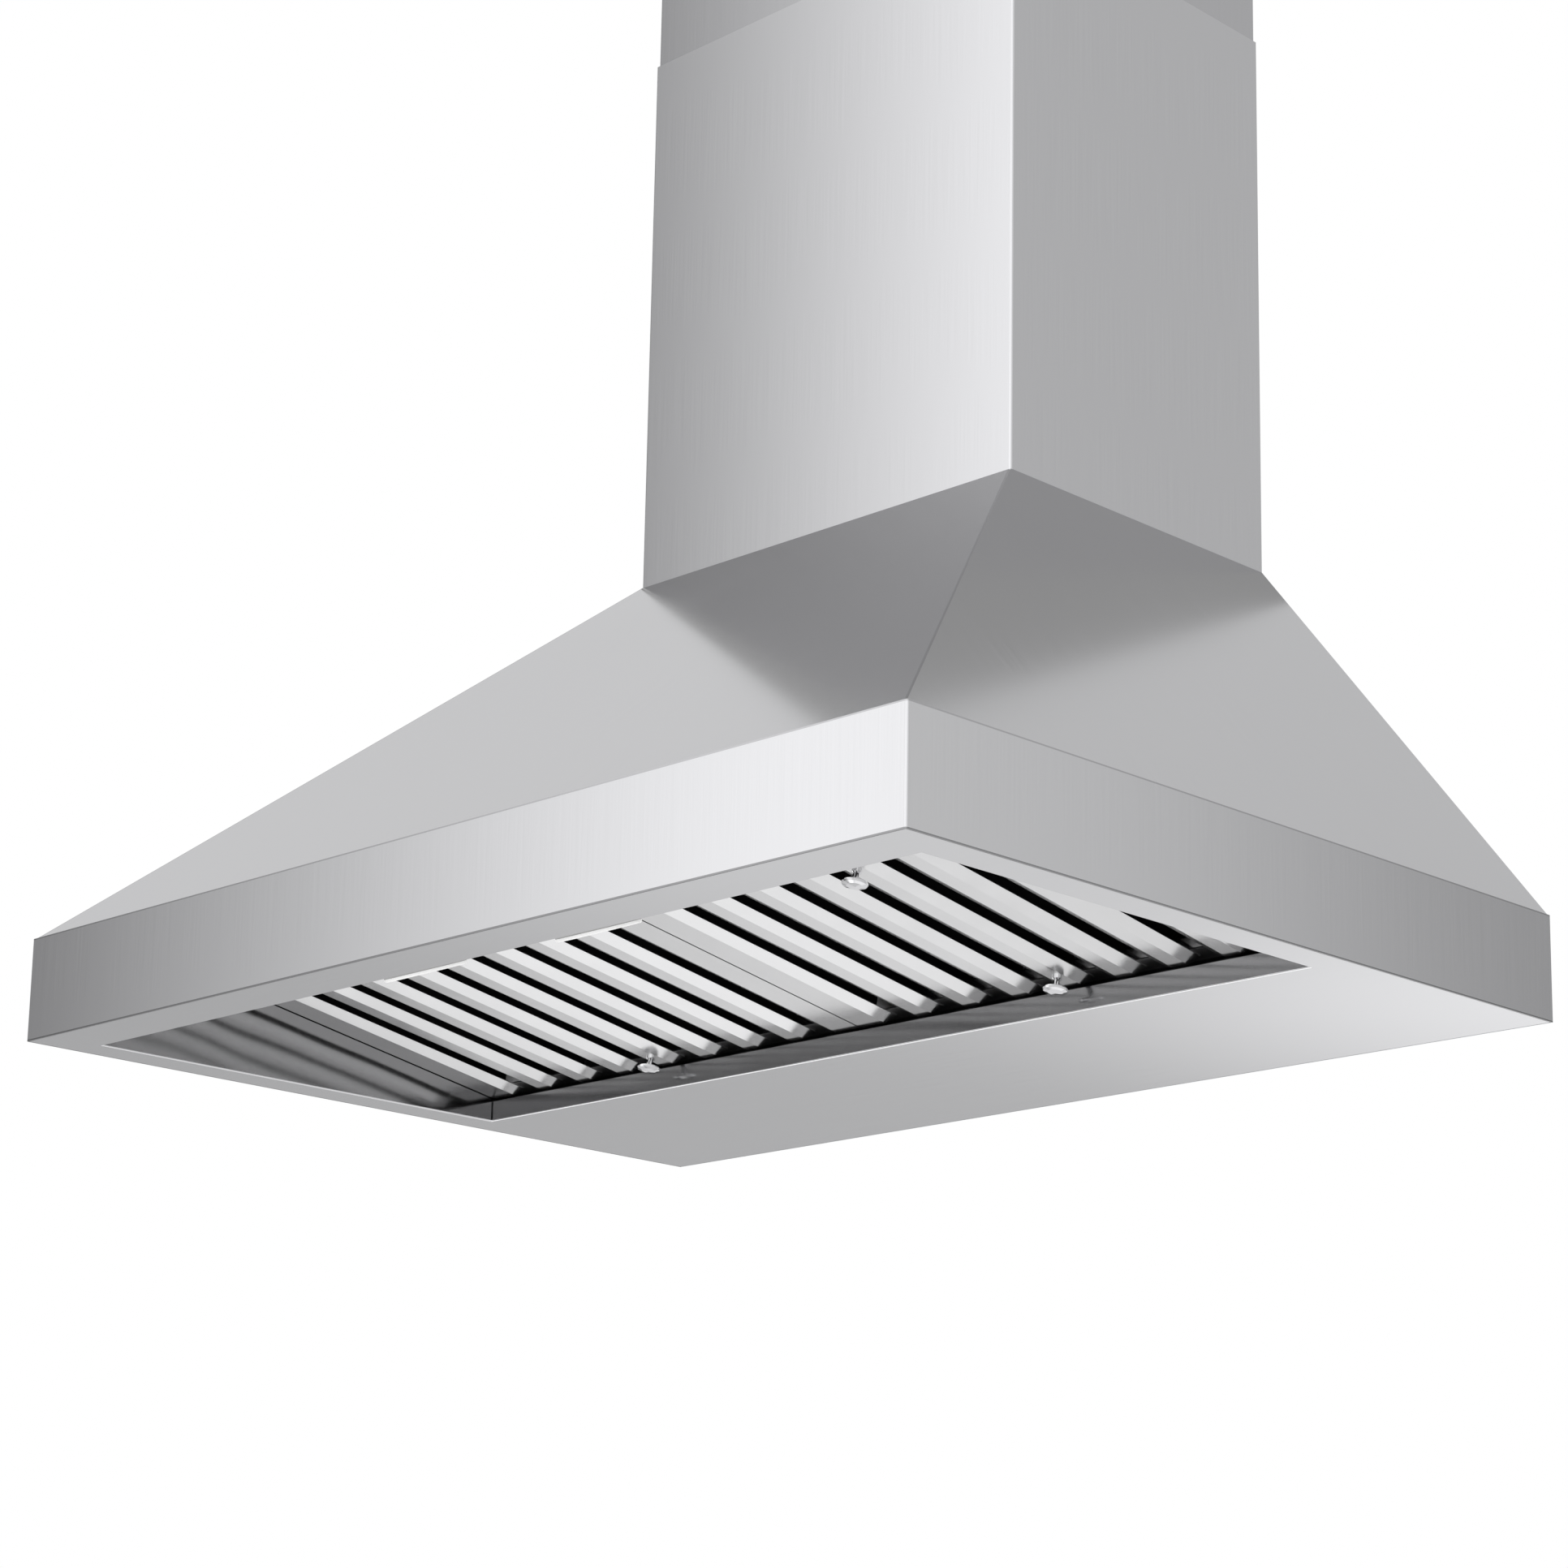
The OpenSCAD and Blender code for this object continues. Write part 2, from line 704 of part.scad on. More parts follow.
// ---- duct collar and backdraught damper ----
flap_t = 0.8;
flap_eye = pin_r + pin_fit;
// the flaps close on a ring this far below their pins
stop_drop = flap_eye + flap_t + 0.3;

screw_r = 2;
screw_hole_r = 2.1;
screw_head_r = 3.8;

module at_collar_screws() {
    for (a = [45 : 90 : 315])
        translate([0, duct_y, canopy_h]) rotate(a) translate([duct_r + flange_w / 2, 0, 0])
            children();
}

// pan-head screw, z = 0 under the head
module screw(length) {
    translate([0, 0, -length]) cylinder(r = screw_r, h = length);
    rotate_extrude()
        polygon([[0, 0], [screw_head_r, 0], [screw_head_r, 1.2], [screw_head_r - 1.4, 2.2],
                 [0, 2.5]]);
}

flange_w = 14;
module duct_collar() {
    color("lightsteelblue")
        translate([0, duct_y, canopy_h])
            difference() {
                union() {
                    cylinder(r = duct_r + flange_w, h = sheet);
                    cylinder(r = duct_r, h = collar_h);
                }
                difference() {
                    translate([0, 0, -1]) cylinder(r = duct_r - collar_t, h = collar_h + 2);
                    translate([0, 0, damper_z - canopy_h - stop_drop - 1.5]) difference() {
                        cylinder(r = duct_r, h = 1.5);
                        translate([0, 0, -1]) cylinder(r = duct_r - collar_t - 6, h = 4);
                    }
                }
                for (y = [-pin_gap, pin_gap])
                    translate([-duct_r - 5, y, damper_z - canopy_h]) rotate([0, 90, 0])
                        cylinder(r = pin_r + 0.02, h = 2 * duct_r + 10);
                translate([0, -duct_y, -canopy_h]) at_collar_screws()
                    translate([0, 0, -5]) cylinder(r = screw_hole_r, h = 10);
            }
}

module collar_screws() {
    color("silver") at_collar_screws() translate([0, 0, sheet]) screw(9);
}

module damper_pins() {
    half = sqrt(pow(duct_r, 2) - pow(pin_gap, 2));
    color("silver")
        translate([0, duct_y, damper_z]) for (y = [-pin_gap, pin_gap])
            translate([-half, y, 0]) rotate([0, 90, 0]) cylinder(r = pin_r, h = 2 * half);
}

module damper_flap() {
    t = flap_t;
    eye = flap_eye;
    reach = duct_r - collar_t - 2;
    half = sqrt(pow(reach, 2) - pow(pin_gap + 4, 2)) - 4;
    color("silver")
        translate([0, duct_y, damper_z]) {
            translate([0, 0, -eye - t]) linear_extrude(t)
                difference() {
                    circle(reach);
                    translate([-duct_r, -pin_gap]) square(2 * duct_r);
                }
            translate([-half, -pin_gap, 0]) rotate([0, 90, 0])
                difference() {
                    cylinder(r = eye + t, h = 2 * half);
                    translate([0, 0, -1]) cylinder(r = eye, h = 2 * half + 2);
                }
        }
}
module damper_flap_front() { damper_flap(); }
module damper_flap_rear() { translate([0, 2 * duct_y, 0]) mirror([0, 1, 0]) damper_flap(); }

// ---- wiring ----
gland_r = 10;
gland_side = 34;
gland_back = 40;
gland_x = chimney_x - gland_side;
gland_y = wall_y - gland_back;
gland_in = 14;
gland_out = 17;
cable_r = 4.5;
box_w = 96;
box_h = 66;
box_d = 38;
box_x = 170;
box_z = 150;
block_w = 48;
block_h = 22;
block_d = 16;
poles = 3;

module junction_box() {
    color("lightgray")
        translate([box_x, wall_y - sheet - box_d, box_z])
            difference() {
                cube([box_w, box_d, box_h]);
                translate([1.2, -1, 1.2]) cube([box_w - 2.4, box_d - 0.2, box_h - 2.4]);
            }
}
module terminal_block() {
    color("beige")
        translate([box_x + (box_w - block_w) / 2, wall_y - sheet - 1.2 - block_d,
                   box_z + (box_h - block_h) / 2])
            difference() {
                cube([block_w, block_d, block_h]);
                for (i = [0.5 : poles - 0.5], z = [5, block_h - 5])
                    translate([i * block_w / poles, -1, z]) rotate([-90, 0, 0])
                        cylinder(r = 2.5, h = block_d / 2 + 1);
            }
}
module junction_cover() {
    color("silver")
        translate([box_x, wall_y - sheet - box_d - 1.2, box_z]) cube([box_w, 1.2, box_h]);
}
module cable_gland() {
    color("black")
        translate([gland_x, gland_y, canopy_h])
            difference() {
                union() {
                    translate([0, 0, -gland_in]) cylinder(r = gland_r, h = gland_in + 5);
                    cylinder(r = gland_r + 5, h = 5, $fn = 6);
                    translate([0, 0, 5])
                        cylinder(r1 = gland_r + 2, r2 = gland_r - 2, h = gland_out - 5);
                    translate([0, 0, -sheet - 5]) cylinder(r = gland_r + 5, h = 5, $fn = 6);
                }
                translate([0, 0, -gland_in - 1])
                    cylinder(r = cable_r, h = gland_in + gland_out + 2);
            }
}

// ---- chimney ----
// plan of a cover: bent round the front, with flanges turned in at the back
module cover(x, y, back) {
    bent_sheet(x, y, back);
    for (x0 = [-x + eps, x - chimney_flange - eps])
        translate([x0, back - sheet]) square([chimney_flange, sheet]);
}

module chimney_lower() {
    color("gainsboro")
        translate([0, 0, canopy_h]) linear_extrude(lower_len)
            cover(chimney_x, chimney_y, wall_y);
}

bracket_hole_r = 3;
bracket_hole_x = 240;
bracket_t = 2;
bracket_h = 34;
bracket_arm = 30;
bracket_mid = upper_top - 4 - bracket_h / 2;

module at_cover_screws() {
    for (m = [0, 1]) mirror([m, 0, 0])
        translate([upper_x, wall_y - 2 * sheet - seat_gap - bracket_arm / 2, bracket_mid])
            rotate([0, 90, 0]) children();
}

module chimney_upper() {
    color("whitesmoke")
        difference() {
            translate([0, 0, upper_top - upper_len]) linear_extrude(upper_len)
                cover(upper_x, upper_y, wall_y - sheet - seat_gap);
            at_cover_screws() translate([0, 0, -5]) cylinder(r = screw_hole_r, h = 10);
        }
}
module cover_screws() { color("silver") at_cover_screws() screw(9); }

module chimney_bracket() {
    x = upper_x - sheet;
    y = wall_y - 2 * sheet - seat_gap;
    color("darkgray")
        difference() {
            translate([0, 0, bracket_mid - bracket_h / 2]) linear_extrude(bracket_h)
                polygon(fold([[x, y - bracket_arm], [x, y], [-x, y], [-x, y - bracket_arm]],
                             bracket_t));
            for (s = [-1, 1])
                translate([s * bracket_hole_x / 2, wall_y, bracket_mid])
                    rotate([90, 0, 0]) cylinder(r = bracket_hole_r, h = 20);
            at_cover_screws() translate([0, 0, -10]) cylinder(r = screw_hole_r, h = 12);
        }
}

canopy_band();
canopy_pyramid();
back_panel();
underside_pan();
light_panel();
filter_channel();
grease_gutter();
top_plate();
lamp_left();
lamp_right();
led_left();
led_right();
lens_left();
lens_right();
control_plate();
control_box();
button_off();
button_low();
button_medium();
button_high();
button_light();
filter_frame_left();
filter_frame_right();
lower_baffles_left();
lower_baffles_right();
upper_baffles_left();
upper_baffles_right();
knobs_left();
knobs_right();
blower_scroll();
inlet_plate_left();
inlet_plate_right();
blower_brackets();
blower_wheel();
motor_shaft();
motor();
motor_bracket();
capacitor();
capacitor_clamp();
duct_collar();
collar_screws();
damper_pins();
damper_flap_front();
damper_flap_rear();
junction_box();
junction_cover();
terminal_block();
cable_gland();
chimney_lower();
chimney_upper();
chimney_bracket();
cover_screws();
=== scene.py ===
# %% [markdown]
# # A wall canopy range hood in brushed steel
#
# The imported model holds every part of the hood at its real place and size.
# This lesson dresses those parts: each sheet gets its brushed, annealed or
# zinc-coated finish, the well that holds the filters gets its folded edge,
# and the hood stands in a plain studio with one camera. The parts could be
# modelled again here, but a copy drifts away from what carries and moves it,
# so the frame is loaded once and never changed.

# %% The frame
import math
from collections import namedtuple

import bmesh
import bpy
from mathutils import Euler, Matrix, Vector


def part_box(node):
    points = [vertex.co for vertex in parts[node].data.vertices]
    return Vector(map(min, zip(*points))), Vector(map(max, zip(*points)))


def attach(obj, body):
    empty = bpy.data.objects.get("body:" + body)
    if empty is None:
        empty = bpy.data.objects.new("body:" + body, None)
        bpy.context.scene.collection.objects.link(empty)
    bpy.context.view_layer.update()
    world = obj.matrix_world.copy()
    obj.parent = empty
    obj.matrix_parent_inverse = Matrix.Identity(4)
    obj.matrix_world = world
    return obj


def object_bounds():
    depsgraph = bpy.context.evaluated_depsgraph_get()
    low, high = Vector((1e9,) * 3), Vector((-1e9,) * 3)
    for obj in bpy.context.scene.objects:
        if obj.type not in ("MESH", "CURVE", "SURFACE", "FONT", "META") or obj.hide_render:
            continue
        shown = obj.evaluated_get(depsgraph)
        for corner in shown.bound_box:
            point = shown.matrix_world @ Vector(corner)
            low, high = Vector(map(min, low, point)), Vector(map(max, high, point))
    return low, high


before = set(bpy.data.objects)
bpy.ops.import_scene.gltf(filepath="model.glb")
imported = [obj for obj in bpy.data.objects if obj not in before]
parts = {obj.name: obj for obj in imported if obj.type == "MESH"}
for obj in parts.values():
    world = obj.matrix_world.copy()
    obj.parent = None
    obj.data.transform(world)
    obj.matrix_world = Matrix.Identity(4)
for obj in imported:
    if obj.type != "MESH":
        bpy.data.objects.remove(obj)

cad_low, cad_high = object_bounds()
print("parts:", len(parts), "box:", [round(v, 4) for v in cad_low], [round(v, 4) for v in cad_high])

# %% [markdown]
# ## Finishes
#
# A finish here is a small tree of shader nodes. It could also be an image
# wrapped round the part, but these parts have no layout for one, and it would
# stretch at the bends. A tree needs neither. Each node has settings, such as
# which sum it works out, and inputs, which are either linked to another node
# or set to a plain value. One helper makes a node with both, and another makes
# a material with its Principled shader.

# %% A node and a material
def feed(tree, made, inputs):
    """Gives a node its inputs: another node's socket is linked, a plain value is set."""
    for name, value in inputs.items():
        if isinstance(value, bpy.types.NodeSocket):
            tree.links.new(value, made.inputs[name])
        else:
            made.inputs[name].default_value = value


def node(tree, kind, inputs=None, **settings):
    """A new node, with its settings by name and its inputs in a table."""
    made = tree.nodes.new(kind)
    for key, value in settings.items():
        setattr(made, key, value)
    feed(tree, made, inputs or {})
    return made


def finish_of(name, colour, metallic, roughness):
    """A new material, its tree and its shader."""
    made = bpy.data.materials.new(name)
    made.use_nodes = True
    shader = made.node_tree.nodes["Principled BSDF"]
    feed(made.node_tree, shader,
         {"Base Color": (*colour, 1), "Metallic": metallic, "Roughness": roughness})
    return made, made.node_tree, shader


bare = {slot.name for part in parts.values() for slot in part.data.materials if slot}
print("finishes of the bare frame:", sorted(bare))

# %% [markdown]
# ### Noise
#
# No real surface is one flat colour. Rolling, grinding and moulding leave
# small marks all over it. They could be drawn one by one in the mesh, but a
# noise texture has as many as are needed, at any size. Its values rarely leave
# the middle of their range, so they are spread out before they are used.

# %% Noise
noise_low, noise_high = 0.3, 0.7


def object_place(tree):
    """A point's own place in metres, the same for every part."""
    return node(tree, "ShaderNodeTexCoord").outputs["Object"]


def noise_at(tree, place, scale, detail=3.0, roughness=0.55):
    return node(tree, "ShaderNodeTexNoise",
                {"Vector": place, "Scale": scale, "Detail": detail,
                 "Roughness": roughness}).outputs["Fac"]


def mapped(tree, value, low, high, new_low=0.0, new_high=1.0):
    """A value, with the range from low to high turned into the new one."""
    return node(tree, "ShaderNodeMapRange",
                {"Value": value, "From Min": low, "From Max": high, "To Min": new_low,
                 "To Max": new_high}).outputs["Result"]


def spread(tree, noise, low=0.0, high=1.0):
    return mapped(tree, noise, noise_low, noise_high, low, high)


print("noise from", noise_low, "to", noise_high, "is spread over the whole of a finish")

# %% [markdown]
# ### Tint and bump
#
# The marks show as small changes of colour, of roughness and of height. Each
# could have a noise of its own, but on metal they are the same scratches, so
# the three come from one noise: a dark line is also a rough and a deep one. A
# tint only goes a few hundredths up or down, since more looks like dirt.

# %% Tint and bump
def mixed(tree, factor, first, second, blend_type="MIX"):
    """Two colours, each a socket or (r, g, b, 1), mixed by a factor."""
    return node(tree, "ShaderNodeMix", {"Factor": factor, "A": first, "B": second},
                data_type="RGBA", blend_type=blend_type).outputs["Result"]


def tint(tree, value, colour, amount):
    """A colour that a value from 0 to 1 makes a little darker or lighter."""
    darker = (*[c * (1 - amount) for c in colour], 1)
    lighter = (*[min(1.0, c * (1 + amount)) for c in colour], 1)
    return mixed(tree, value, darker, lighter)


def bump_of(tree, height, distance, strength):
    return node(tree, "ShaderNodeBump", {"Height": height, "Distance": distance,
                                         "Strength": strength}).outputs["Normal"]


print("helpers that take a noise value:", [f.__name__ for f in (spread, tint, bump_of)])

# %% [markdown]
# ### Where a point is and which way its face looks
#
# On the real hood a finish changes from place to place: a fold is duller, a
# bend is rubbed bright, and the lines of the brushing turn with the sheet. It
# could be one material for each such patch, but then every patch would need
# an edge in the mesh. So the tree asks each point where it is and how far its
# face looks to the side, to the front or back, and up or down. A normal whose
# part along an axis is 1 looks squarely that way.

# %% Spots
Spot = namedtuple("Spot", "x y z n_x n_y n_z")
square_on, halfway, nearly_upright, slightly = 0.9, 0.5, 0.3, 0.15


def math_node(tree, operation, *values):
    """The result of a Math node on sockets or numbers."""
    return node(tree, "ShaderNodeMath", dict(enumerate(values)), operation=operation).outputs[0]


def spot_of(tree):
    """The sockets of a point's x, y and z, and of the sizes of its true normal's x, y and z."""
    place = node(tree, "ShaderNodeSeparateXYZ", {0: object_place(tree)})
    facing = node(tree, "ShaderNodeNewGeometry").outputs["True Normal"]
    turn = node(tree, "ShaderNodeSeparateXYZ", {0: facing})
    return Spot(*place.outputs, *(math_node(tree, "ABSOLUTE", side) for side in turn.outputs))


print("a spot has", Spot._fields)

# %% [markdown]
# ### Masks
#
# A mask is a value that is one on a patch and zero elsewhere. Comparing a part
# of the spot with a limit gives one, and multiplying two masks leaves only
# where both are one. A painted mask could have any outline, but a comparison
# is exact to the edge and needs nothing stored.

# %% Masks
def less(tree, value, limit):
    return math_node(tree, "LESS_THAN", value, limit)


def more(tree, value, limit):
    return math_node(tree, "GREATER_THAN", value, limit)


def both(tree, first, second):
    """Where two masks are both one."""
    return math_node(tree, "MULTIPLY", first, second)


def under_masks(tree, surface, spot, dims):
    """The surface colour, times a factor under each mask of dims."""
    for mask_of, factor in dims:
        surface = mixed(tree, mask_of(tree, spot), surface, (factor, factor, factor, 1),
                        "MULTIPLY")
    return surface


print("a face looks squarely along an axis from", square_on)

# %% [markdown]
# ### Brushed sheet
#
# The belt that grinds the sheet leaves fine lines up and down the hood. A
# noise makes them when it is squeezed across the lines and drawn out along
# them. On a face that looks to the side, the lines lie next to each other
# along Y, on a face that looks forwards along X, and on the underside they run
# from left to right.

# %% Coordinates that follow the grain
line_width, line_shade, line_depth = 0.0012, 0.02, 0.00002


def either(tree, mask, first, second):
    """The first value where the mask is one, and the second where it is zero."""
    unmasked = math_node(tree, "SUBTRACT", 1.0, mask)
    return math_node(tree, "ADD", math_node(tree, "MULTIPLY", first, mask),
                     math_node(tree, "MULTIPLY", second, unmasked))


def grain(tree, spot, line_length):
    """Coordinates that count the widths and lengths of lines, and the mask of level faces."""
    level = more(tree, spot.n_z, square_on)
    along_y = math_node(tree, "MAXIMUM", level, more(tree, spot.n_x, spot.n_y))
    across = either(tree, along_y, spot.y, spot.x)
    along = either(tree, level, spot.x, spot.z)
    join = node(tree, "ShaderNodeCombineXYZ",
                {0: math_node(tree, "MULTIPLY", across, 1 / line_width),
                 1: math_node(tree, "MULTIPLY", along, 1 / line_length)})
    return join.outputs[0], level


print("grain lines:", round(1 / line_width), "to a metre")

# %% [markdown]
# ### The sheen of brushed sheet
#
# The same lines also spread a reflection sideways, which is what makes brushed
# steel look brushed from afar, where no line can be seen. The bump could do
# that only with far more samples, so the shader is anisotropic instead, and
# its tangent lies across the grain.

# %% Brushed sheet
def across_the_grain(tree, level):
    """The direction round the hood on its sides, and from front to back underneath."""
    around = node(tree, "ShaderNodeTangent", direction_type="RADIAL", axis="Z").outputs[0]
    beneath = node(tree, "ShaderNodeTangent", direction_type="RADIAL", axis="X").outputs[0]
    return node(tree, "ShaderNodeMix", {"Factor": level, "A": around, "B": beneath},
                data_type="VECTOR").outputs["Result"]


def brushed(name, colour, roughness=0.14, anisotropy=0.5, line_length=0.12, dims=(),
            sag_of=None):
    """Brushed sheet. Each of dims is a function that makes a mask, and a factor."""
    made, tree, shader = finish_of(name, colour, 1.0, roughness)
    spot = spot_of(tree)
    counted, level = grain(tree, spot, line_length)
    lines = noise_at(tree, counted, 1.0, 4.0, 0.65)
    height = math_node(tree, "ADD", lines, sag_of(tree, spot)) if sag_of else lines
    feed(tree, shader, {
        "Base Color": under_masks(tree, tint(tree, spread(tree, lines), colour, line_shade),
                                  spot, dims),
        "Roughness": spread(tree, lines, roughness - 0.015, roughness + 0.015),
        "Normal": bump_of(tree, height, line_depth, 0.15),
        "Anisotropic": anisotropy,
        "Tangent": across_the_grain(tree, level)})
    return made


steel_grey = (0.80, 0.80, 0.81)
print("steel grey:", steel_grey)

# %% [markdown]
# ### Where the outer sheets are
#
# The seams of the outside lie along the edges of the band and the pyramid, so
# their places come from the frame's own boxes. They could be typed in, but
# then they'd stay behind when the hood changes size. A mesh stores its places
# with tiny rounding errors, so the boxes are read to a tenth of a millimetre.

# %% Corners of the outer sheets
Corner = namedtuple("Corner", "x y z")


def corners_of(name):
    """The lowest and the highest corner of a part."""
    return [Corner(*(round(v, 4) for v in corner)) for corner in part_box(name)]


band_low, band_high = corners_of("canopy_band")
pyramid_low, pyramid_high = corners_of("canopy_pyramid")
chimney_low, chimney_high = corners_of("chimney_lower")
hip_run = (pyramid_high.x - chimney_high.x) / (pyramid_high.z - pyramid_low.z)
print("band up to", band_high.z, "m; hips run in by", round(hip_run, 3), "m for each metre up")

# %% [markdown]
# ### Folds and seams
#
# Where two sheets meet or one is folded, a thin line of shade shows: a dark one at the
# band's lower edge, a duller one where its top is bent into the hem, and one
# along each welded hip of the pyramid. They could be cut into the sheets, but
# they are only a millimetre or two wide, so each is a mask of painted shade. The
# upright bends catch the light, and a painted highlight makes them a little brighter than the
# sheet.

# %% Folds and seams
fold_seam, top_hem, hip_seam = 0.0010, 0.0011, 0.0026


def lower_fold_shade(tree, spot):
    """Painted shade in the seam between the band's lower edge and the underside."""
    return less(tree, spot.z, fold_seam)


def upper_fold_shade(tree, spot):
    """Painted shade along the bend into the hem at the band's top edge."""
    return more(tree, spot.z, band_high.z - top_hem)


def hip_seam_shade(tree, spot):
    """Painted shade along the welded seams where the pyramid's front meets its sides."""
    edge = pyramid_high.x + pyramid_low.z * hip_run
    seam = math_node(tree, "MULTIPLY_ADD", spot.z, -hip_run, edge - hip_seam)
    outer = more(tree, math_node(tree, "ABSOLUTE", spot.x), seam)
    return both(tree, outer, less(tree, spot.n_x, halfway))


# A painted highlight: the bend is made brighter than the sheet where it would catch the light.
def bend_highlight(tree, spot):
    """An upright corner, where the bend gets a painted highlight."""
    corner = both(tree, more(tree, spot.n_x, slightly), more(tree, spot.n_y, slightly))
    return both(tree, corner, less(tree, spot.n_z, nearly_upright))


print("seams:", fold_seam, top_hem, hip_seam, "m wide")

# %% [markdown]
# ### The canopy and the chimney
#
# All the outer sheets are of one steel, and differ only in the painted shade of
# their folds and seams and the painted highlight of their bends. One material
# with every mask would do, but a mask that finds its own height on another part
# would mark it too, so each sheet has a material with its own masks. The upper
# cover is a slightly darker sheet.

# %% Steel for the outside
# Factors below one paint shade into folds and seams; the factor above one paints a highlight on the
# bends.
outer_steel = brushed("brushed steel", steel_grey, dims=[(bend_highlight, 1.22)])
band_steel = brushed("brushed steel of the band", steel_grey,
                     dims=[(lower_fold_shade, 0.45), (upper_fold_shade, 0.72), (bend_highlight, 1.22)])
pyramid_steel = brushed("brushed steel of the pyramid", steel_grey, dims=[(hip_seam_shade, 0.75)])
cover_steel = brushed("brushed steel of the upper cover", (0.71, 0.71, 0.72))
print("outside:", [m.name for m in (outer_steel, band_steel, pyramid_steel, cover_steel)])

# %% [markdown]
# ### Where the well is
#
# The filters sit in a well, an open box sunk into the underside. The underside
# and the well's walls are one part, so no box in the frame gives the well by
# itself. It is measured inwards from the band instead, by the width of the
# border at the sides, in front and behind.

# %% Edges of the well
sheet = 0.0012
side_border, front_border, rear_panel = 0.030, 0.046, 0.247
well_x = round(band_high.x - side_border, 4)
well_front = round(band_low.y + front_border, 4)
well_rear = round(band_high.y - rear_panel, 4)
print("well:", 2 * well_x, "m wide, from", well_front, "to", well_rear)

# %% [markdown]
# ### The walls of the well
#
# The well's upright walls see little of the room, so they are much darker than
# the level border round them. In part that comes from the reflections, and the
# rest is painted shade, a mask on each pair of walls. The open corner where the
# rear wall meets the sides gets a thin dark line of painted shade.

# %% Masks of painted shade in the well
beyond_side, beyond_rear = 0.0015, 0.004


def inside_well(tree, spot):
    return less(tree, math_node(tree, "ABSOLUTE", spot.x), well_x + beyond_side)


def well_front_and_back_shade(tree, spot):
    return both(tree, inside_well(tree, spot), more(tree, spot.n_y, square_on))


def well_sides_shade(tree, spot):
    return both(tree, inside_well(tree, spot), more(tree, spot.n_x, square_on))


def well_corner_shade(tree, spot):
    """Painted shade in the open seam where the well's rear wall meets its sides."""
    near = more(tree, math_node(tree, "ABSOLUTE", spot.x), well_x - sheet)
    upright = both(tree, near, more(tree, spot.n_y, square_on))
    return both(tree, upright, less(tree, spot.y, well_rear + beyond_rear))


print("corner seam:", sheet * 1000, "mm wide")

# %% [markdown]
# ### The underside
#
# A thin upright wall is never quite flat, and its reflections wander. The wall
# could be bent in the mesh, but the filters fit against it, so a slow noise is
# added to the height of the brushed lines instead, on the upright walls only.
# The level border stays flat.

# %% Steel for the underside
waves_per_metre, wave_height = 7.0, 500.0


def wall_sag(tree, spot):
    """The slight waves of a thin upright wall, as a height in depths of the lines."""
    place = node(tree, "ShaderNodeCombineXYZ", {0: spot.x, 1: spot.y, 2: spot.z})
    waves = noise_at(tree, place.outputs[0], waves_per_metre, 1.0)
    upright = less(tree, spot.n_z, halfway)
    return math_node(tree, "MULTIPLY", both(tree, waves, upright), wave_height)


# The dims paint shade onto the well's walls and its corner.
under_steel = brushed("brushed steel underneath", steel_grey, 0.12, 0.4, line_length=0.08,
                      dims=[(well_front_and_back_shade, 0.42), (well_sides_shade, 0.5), (well_corner_shade, 0.1)],
                      sag_of=wall_sag)
print("underside:", under_steel.name)

# %% [markdown]
# ### Smooth metals
#
# The baffles are bright annealed steel, smooth with a faint cloudiness from
# the rolls, so a slow noise tints them and a fast one roughens them. What sits
# behind them is the same steel, painted nearly black as shade, since little
# light reaches it. Turned and stamped fittings are plated, nearly a mirror.

# %% Annealed and dull steel
def smooth(name, colour, roughness, cloud=0.03, clouds_per_metre=22.0, metallic=1.0, glow=0.0,
           dims=()):
    """A smooth finish with faint clouds, which may glow a little in its own colour."""
    made, tree, shader = finish_of(name, colour, metallic, roughness)
    place = object_place(tree)
    clouds = noise_at(tree, place, clouds_per_metre, 4.0)
    fine = noise_at(tree, place, clouds_per_metre * 40, 2.0)
    surface = tint(tree, spread(tree, clouds), colour, cloud)
    if dims:
        surface = under_masks(tree, surface, spot_of(tree), dims)
    feed(tree, shader, {
        "Base Color": surface,
        "Roughness": spread(tree, clouds, roughness * 0.85, roughness * 1.15),
        "Normal": bump_of(tree, fine, 0.00001, 0.15)})
    if glow:
        feed(tree, shader, {"Emission Color": surface, "Emission Strength": glow})
    return made


baffle_steel = smooth("bright annealed steel", (0.90, 0.90, 0.90), 0.22)
# Near-black as painted shade: the steel behind the baffles gets little light.
shaded_inner_steel = smooth("inner steel in painted shade", (0.06, 0.06, 0.063), 0.42, 0.10)
print("smooth:", baffle_steel.name, "and", shaded_inner_steel.name)

# %% [markdown]
# ### Zinc-coated sheet
#
# As hot zinc sets on a sheet it grows crystals, the spangle. Each crystal
# mirrors the room in its own direction. A Voronoi texture fits that well: it
# divides the sheet into cells and gives each a colour of its own, of which one
# channel sets the grey and another the roughness.

# %% Zinc-coated sheet
crystal = 0.009


def zinc_coated(name, colour, roughness):
    made, tree, shader = finish_of(name, colour, 1.0, roughness)
    place = object_place(tree)
    cells = node(tree, "ShaderNodeTexVoronoi", {"Vector": place, "Scale": 1 / crystal})
    shade, dullness, _ = node(tree, "ShaderNodeSeparateColor", {0: cells.outputs["Color"]}).outputs
    feed(tree, shader, {
        "Base Color": tint(tree, shade, colour, 0.10),
        "Roughness": mapped(tree, dullness, 0.0, 1.0, roughness - 0.07, roughness + 0.07),
        "Normal": bump_of(tree, noise_at(tree, place, 900.0, 2.0), 0.00001, 0.2)})
    return made


zinc = zinc_coated("zinc-coated steel", (0.60, 0.62, 0.64), 0.38)
print("crystals:", crystal * 1000, "mm")

